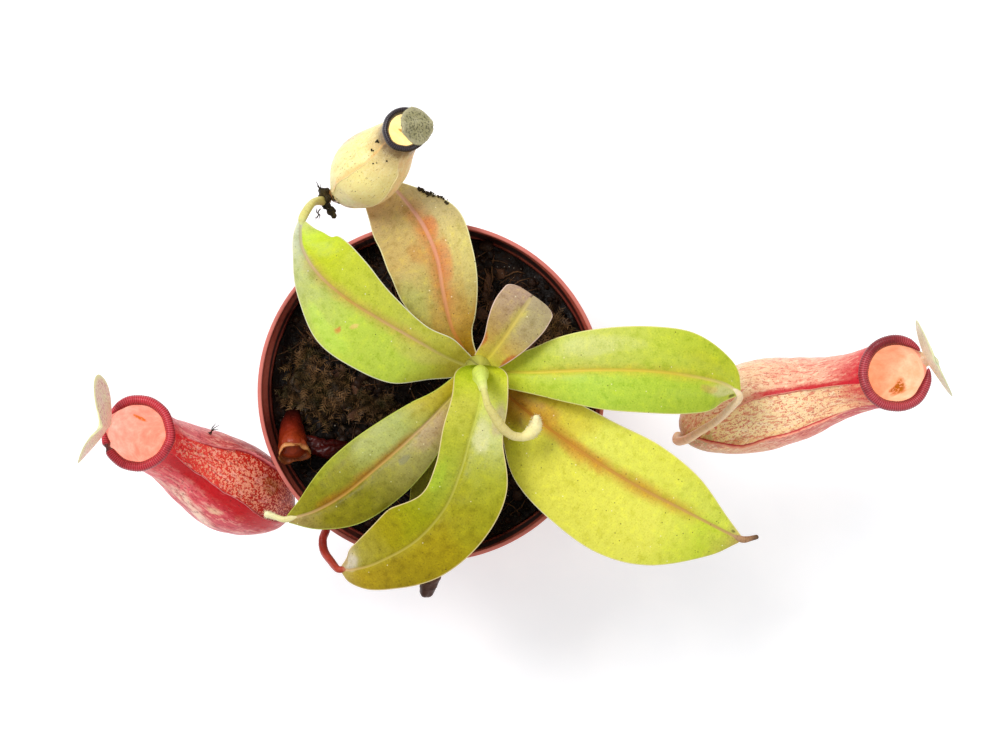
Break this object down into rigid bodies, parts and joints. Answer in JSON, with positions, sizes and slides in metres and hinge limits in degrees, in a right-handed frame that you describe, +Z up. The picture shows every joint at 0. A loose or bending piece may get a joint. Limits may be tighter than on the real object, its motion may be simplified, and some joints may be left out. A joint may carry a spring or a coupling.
{
  "type": "potted pitcher plant",
  "caption": "Tropical pitcher plant in a small round nursery pot: a rosette of long leaves whose tendrils carry hollow pitchers with ribbed mouths and lids, hung beside the pot.",
  "frame": {"origin": "centre of the pot's flat underside, on the surface it stands on", "axes": "+Z up out of the pot; +X towards the longer of the two side pitchers; +Y towards the small old pitcher"},
  "size_m": [0.2186, 0.1237, 0.113],
  "materials": {
    "pot_plastic": "satin",
    "peat": "matte",
    "moss": "matte",
    "bark": "matte",
    "leaf_lime": "satin",
    "leaf_tan": "satin",
    "leaf_mauve": "satin",
    "leaf_yellow": "satin",
    "leaf_olive": "satin",
    "leaf_shade": "satin",
    "tendril_pale": "satin",
    "tendril_red": "satin",
    "tendril_dry": "matte",
    "bud": "matte",
    "cup_red": "gloss",
    "cup_cream": "gloss",
    "cup_old": "satin",
    "mouth_red": "gloss",
    "mouth_dark": "gloss",
    "lid_speckled": "satin",
    "lid_grey": "matte",
    "dead_brown": "matte"
  },
  "bodies": {
    "root": {"pot": "pot_plastic", "stem": "bark", "soil": "peat", "moss_left": "moss", "moss_middle": "moss", "moss_right": "moss", "leaf_upper_left": "leaf_lime", "leaf_top": "leaf_tan", "leaf_small": "leaf_mauve", "leaf_right": "leaf_lime", "leaf_lower_right": "leaf_yellow", "leaf_front": "leaf_yellow", "leaf_lower_left": "leaf_olive", "leaf_hidden": "leaf_shade", "tendril_upper_left": "tendril_pale", "tendril_small": "tendril_pale", "tendril_right": "tendril_pale", "tendril_lower_right": "tendril_dry", "tendril_front": "tendril_red", "tendril_lower_left": "tendril_pale", "tendril_hidden": "tendril_dry", "spear_leaf": "leaf_lime", "spear_tendril": "tendril_pale", "spear_bud": "bud", "left_cup": "cup_red", "left_ring": "mouth_red", "left_lid": "lid_speckled", "right_cup": "cup_cream", "right_ring": "mouth_red", "right_lid": "lid_speckled", "top_cup": "cup_old", "top_ring": "mouth_dark", "top_lid": "lid_grey", "dead_tube": "dead_brown", "dead_lip": "dead_brown", "dead_body": "dead_brown"}
  },
  "joints": []
}
